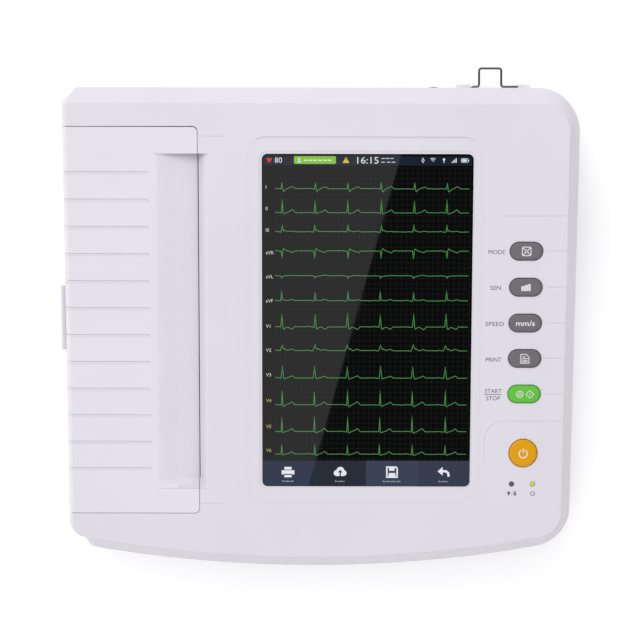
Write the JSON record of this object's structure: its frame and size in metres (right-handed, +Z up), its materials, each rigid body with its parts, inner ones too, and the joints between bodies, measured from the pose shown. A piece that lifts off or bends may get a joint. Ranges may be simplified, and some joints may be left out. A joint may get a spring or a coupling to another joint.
{
  "type": "ecg machine",
  "caption": "Portable wedge-shaped ECG recorder with a portrait touch screen, a column of capsule keys and a thermal paper printer under a hinged grooved cover.",
  "frame": {"origin": "centre of the bounding box, on the plane under the feet", "axes": "+X to the right of the panel, +Y to the rear where the mains inlet is, +Z up"},
  "size_m": [0.3416, 0.3353, 0.0818],
  "materials": {
    "shell": "satin moulded plastic, faint lavender white",
    "cover": "satin moulded plastic, slightly lighter than the shell",
    "key_grey": "soft satin grey",
    "key_green": "soft satin green",
    "key_orange": "soft satin orange",
    "lamp_dark": "clear light pipe, unlit",
    "lamp_green": "clear light pipe, lit",
    "screen_glass": "black-backed touch glass, gloss",
    "black_plastic": "black moulded plastic",
    "white_plastic": "natural white engineering plastic",
    "wire_steel": "bright drawn wire",
    "sheet_steel": "zinc plated sheet",
    "dark_steel": "darkened steel",
    "aluminium": "mill finish",
    "brass": "turned brass",
    "roller_rubber": "ground silicone rubber",
    "foot_rubber": "moulded rubber",
    "foam": "closed cell foam",
    "circuit_board": "green solder mask",
    "ceramic": "glazed alumina strip",
    "battery_wrap": "blue shrink wrap"
  },
  "bodies": {
    "case": {"top_cover": "shell", "base_shell": "shell", "battery_cover": "shell", "head_spring_front": "wire_steel", "head_spring_rear": "wire_steel", "hinge_bracket": "sheet_steel", "hinge_pin": "dark_steel", "stepper_motor": "dark_steel", "printer_frame": "sheet_steel", "print_head": "ceramic", "heat_sink": "aluminium", "tear_bar": "sheet_steel", "paper_bin": "white_plastic", "touch_glass": "screen_glass", "screen_gasket": "foam", "display_module": "aluminium", "display_bracket": "sheet_steel", "main_board": "circuit_board", "key_board": "circuit_board", "charge_lamp": "lamp_dark", "mains_lamp": "lamp_green", "power_supply_board": "circuit_board", "mains_inlet": "black_plastic", "bail_bracket_left": "white_plastic", "bail_bracket_right": "white_plastic", "earth_terminal": "brass", "usb_port": "sheet_steel", "network_port": "black_plastic", "patient_connector": "dark_steel", "speaker": "black_plastic", "battery_pack": "battery_wrap", "battery_cover_screw_left": "dark_steel", "battery_cover_screw_right": "dark_steel", "case_screw_rear_left": "dark_steel", "case_screw_rear_right": "dark_steel", "case_screw_front_left": "dark_steel", "case_screw_front_right": "dark_steel", "foot_rear_left": "foot_rubber", "foot_rear_right": "foot_rubber", "foot_front_left": "foot_rubber", "foot_front_right": "foot_rubber"},
    "paper_cover": {"paper_cover": "cover", "cover_frame": "sheet_steel", "platen_bearing_front": "white_plastic", "platen_bearing_rear": "white_plastic"},
    "cover_release": {"release_button": "cover", "latch_bar": "white_plastic", "release_spring": "wire_steel"},
    "platen": {"platen_shaft": "wire_steel", "platen_roller": "roller_rubber", "platen_gear": "white_plastic"},
    "rotor": {"motor_rotor": "brass"},
    "spindle": {"paper_spindle": "black_plastic"},
    "bail": {"cord_bail": "wire_steel"},
    "mode_key": {"mode_key": "key_grey"},
    "sensitivity_key": {"sensitivity_key": "key_grey"},
    "speed_key": {"speed_key": "key_grey"},
    "print_key": {"print_key": "key_grey"},
    "start_stop_key": {"start_stop_key": "key_green"},
    "power_key": {"power_key": "key_orange"}
  },
  "joints": [
    {"name": "cover_hinge", "type": "hinge", "parent": "case", "child": "paper_cover", "pos_m": [-0.16425, 0.00111, 0.05185], "axis": [0, -0.9976, -0.0698], "range_deg": [0, 95]},
    {"name": "release_slide", "type": "slide", "parent": "paper_cover", "child": "cover_release", "axis": [1, 0, 0], "range_m": [0, 0.0022], "stiffness_N_per_m": 400},
    {"name": "platen_spin", "type": "hinge", "parent": "paper_cover", "child": "platen", "pos_m": [-0.08475, 0.00082, 0.05604], "axis": [0, 0.9976, 0.0698], "continuous": true},
    {"name": "motor_spin", "type": "hinge", "parent": "case", "child": "rotor", "pos_m": [-0.07544, 0.00136, 0.04825], "axis": [0, 0.9976, 0.0698], "continuous": true},
    {"name": "spindle_spin", "type": "hinge", "parent": "case", "child": "spindle", "pos_m": [-0.12645, 0.00183, 0.04157], "axis": [0, 0.9976, 0.0698], "continuous": true},
    {"name": "bail_swing", "type": "hinge", "parent": "case", "child": "bail", "pos_m": [0.11755, 0.1534, 0.03], "axis": [-1, 0, 0], "range_deg": [0, 95]},
    {"name": "mode_press", "type": "slide", "parent": "case", "child": "mode_key", "axis": [0, 0.0698, -0.9976], "range_m": [0, 0.0008], "stiffness_N_per_m": 600},
    {"name": "sensitivity_press", "type": "slide", "parent": "case", "child": "sensitivity_key", "axis": [0, 0.0698, -0.9976], "range_m": [0, 0.0008], "stiffness_N_per_m": 600},
    {"name": "speed_press", "type": "slide", "parent": "case", "child": "speed_key", "axis": [0, 0.0698, -0.9976], "range_m": [0, 0.0008], "stiffness_N_per_m": 600},
    {"name": "print_press", "type": "slide", "parent": "case", "child": "print_key", "axis": [0, 0.0698, -0.9976], "range_m": [0, 0.0008], "stiffness_N_per_m": 600},
    {"name": "start_stop_press", "type": "slide", "parent": "case", "child": "start_stop_key", "axis": [0, 0.0698, -0.9976], "range_m": [0, 0.0008], "stiffness_N_per_m": 600},
    {"name": "power_press", "type": "slide", "parent": "case", "child": "power_key", "axis": [0, 0.0698, -0.9976], "range_m": [0, 0.0008], "stiffness_N_per_m": 600}
  ],
  "couplings": [
    {"joint": "motor_spin", "follows": "platen_spin", "ratio": -1.6667}
  ]
}
